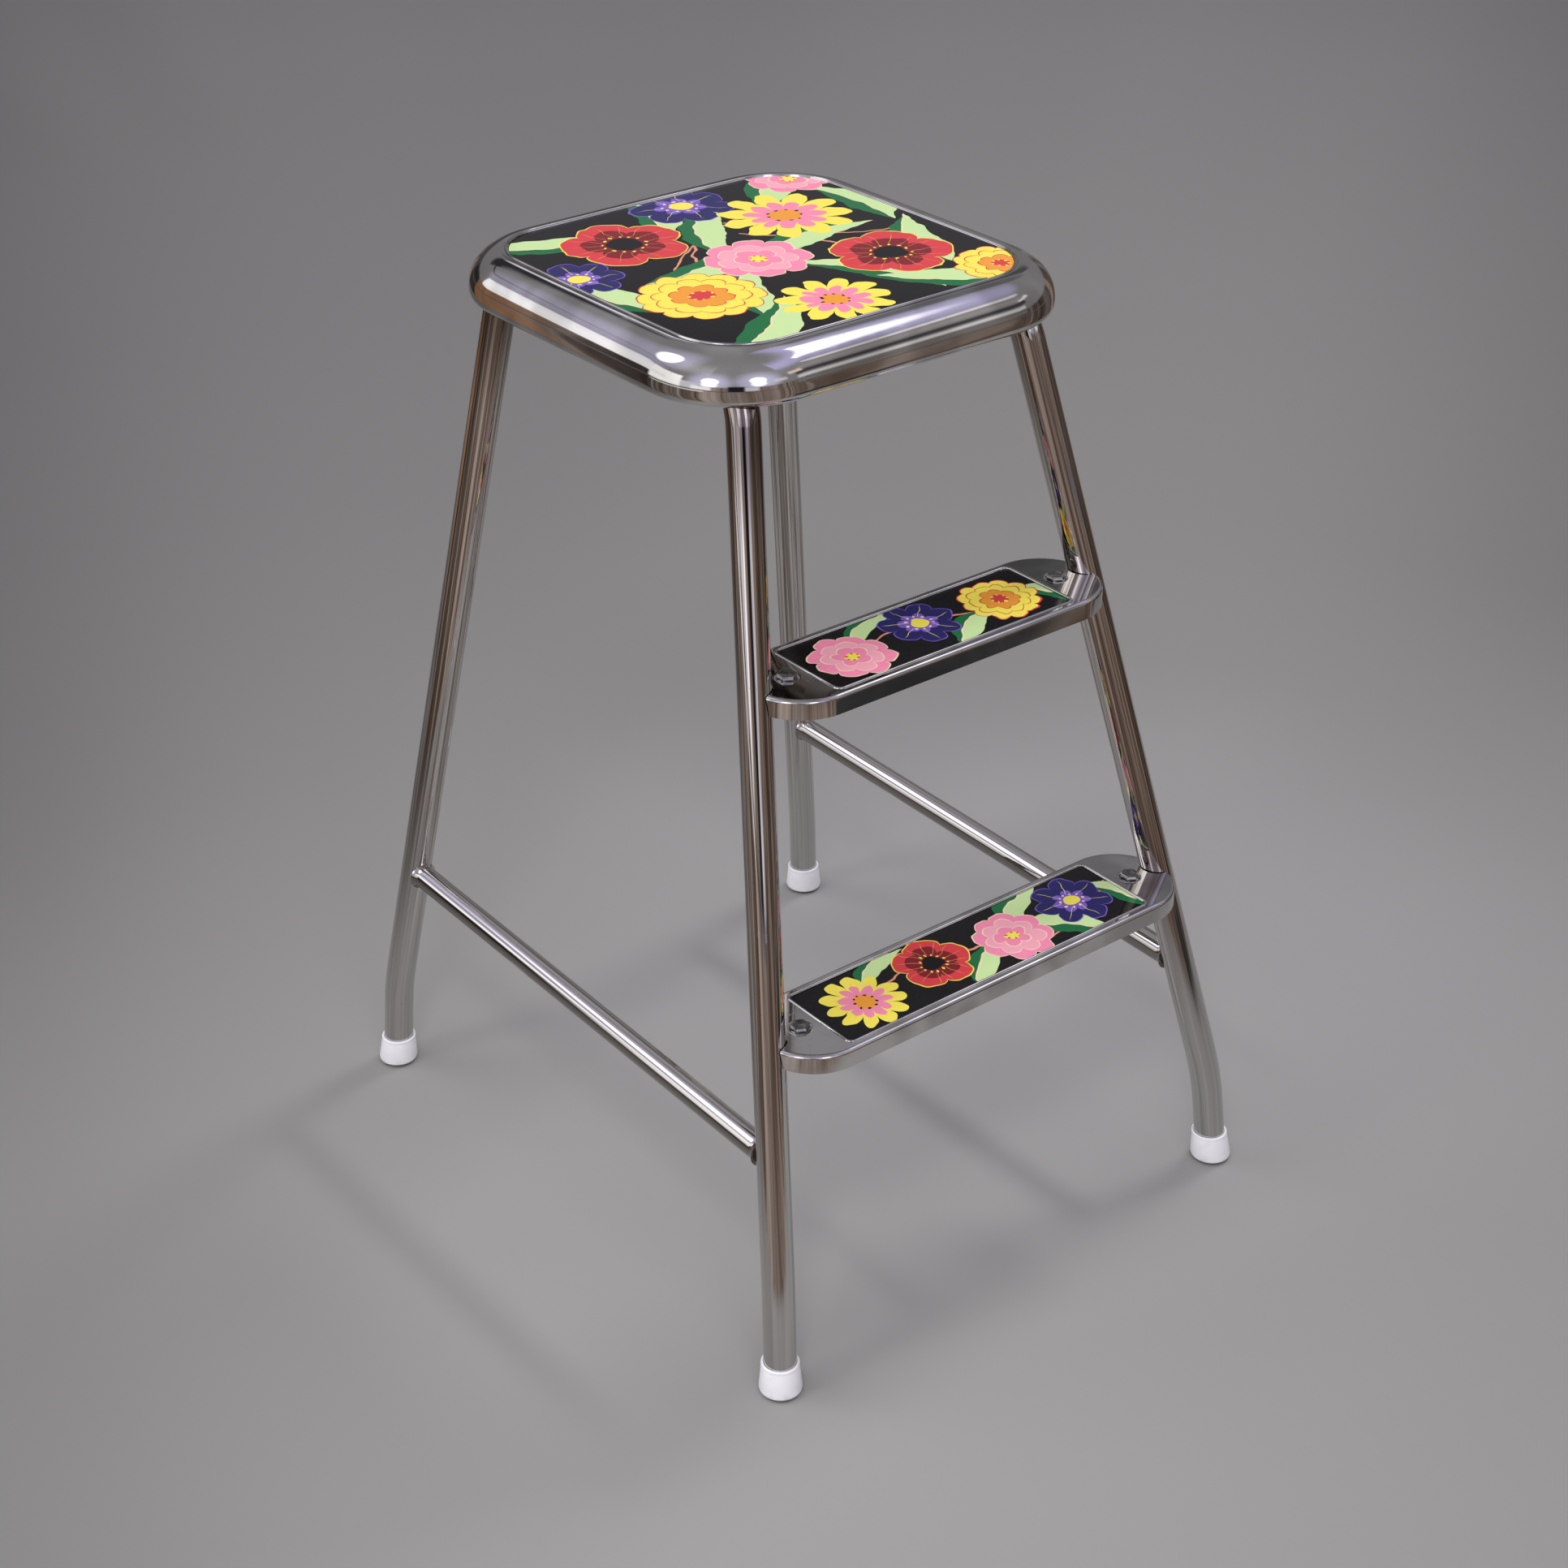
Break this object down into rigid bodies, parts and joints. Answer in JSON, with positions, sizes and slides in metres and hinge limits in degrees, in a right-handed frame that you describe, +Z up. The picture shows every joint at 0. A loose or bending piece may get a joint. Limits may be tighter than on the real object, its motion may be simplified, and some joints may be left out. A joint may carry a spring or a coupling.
{
  "type": "step stool",
  "caption": "Chromed tube step stool with a square pressed seat, bolted treads between the front legs, printed panels let into seat and treads, side stretchers and rubber feet.",
  "frame": {"origin": "on the floor, midway between the four feet", "axes": "+Z up, -Y to the front where the treads are, +X to the right seen from the front"},
  "size_m": [0.3928, 0.4621, 0.6014],
  "materials": {
    "chrome": "bright plated",
    "printed_panel": "glossy printed laminate",
    "white_rubber": "smooth",
    "fastener_steel": "plain zinc"
  },
  "bodies": {
    "root": {"left_side_frame": "chrome", "right_side_frame": "chrome", "left_stretcher": "chrome", "right_stretcher": "chrome", "seat_shell": "chrome", "upper_tread_tray": "chrome", "lower_tread_tray": "chrome", "upper_left_tread_lug": "chrome", "upper_right_tread_lug": "chrome", "lower_left_tread_lug": "chrome", "lower_right_tread_lug": "chrome", "seat_panel": "printed_panel", "upper_tread_panel": "printed_panel", "lower_tread_panel": "printed_panel", "front_left_foot": "white_rubber", "front_right_foot": "white_rubber", "rear_left_foot": "white_rubber", "rear_right_foot": "white_rubber", "tread_bolts": "fastener_steel", "tread_nuts": "fastener_steel", "front_left_seat_clip": "fastener_steel", "front_right_seat_clip": "fastener_steel", "rear_left_seat_clip": "fastener_steel", "rear_right_seat_clip": "fastener_steel", "seat_studs": "fastener_steel", "seat_stud_nuts": "fastener_steel"}
  },
  "joints": []
}
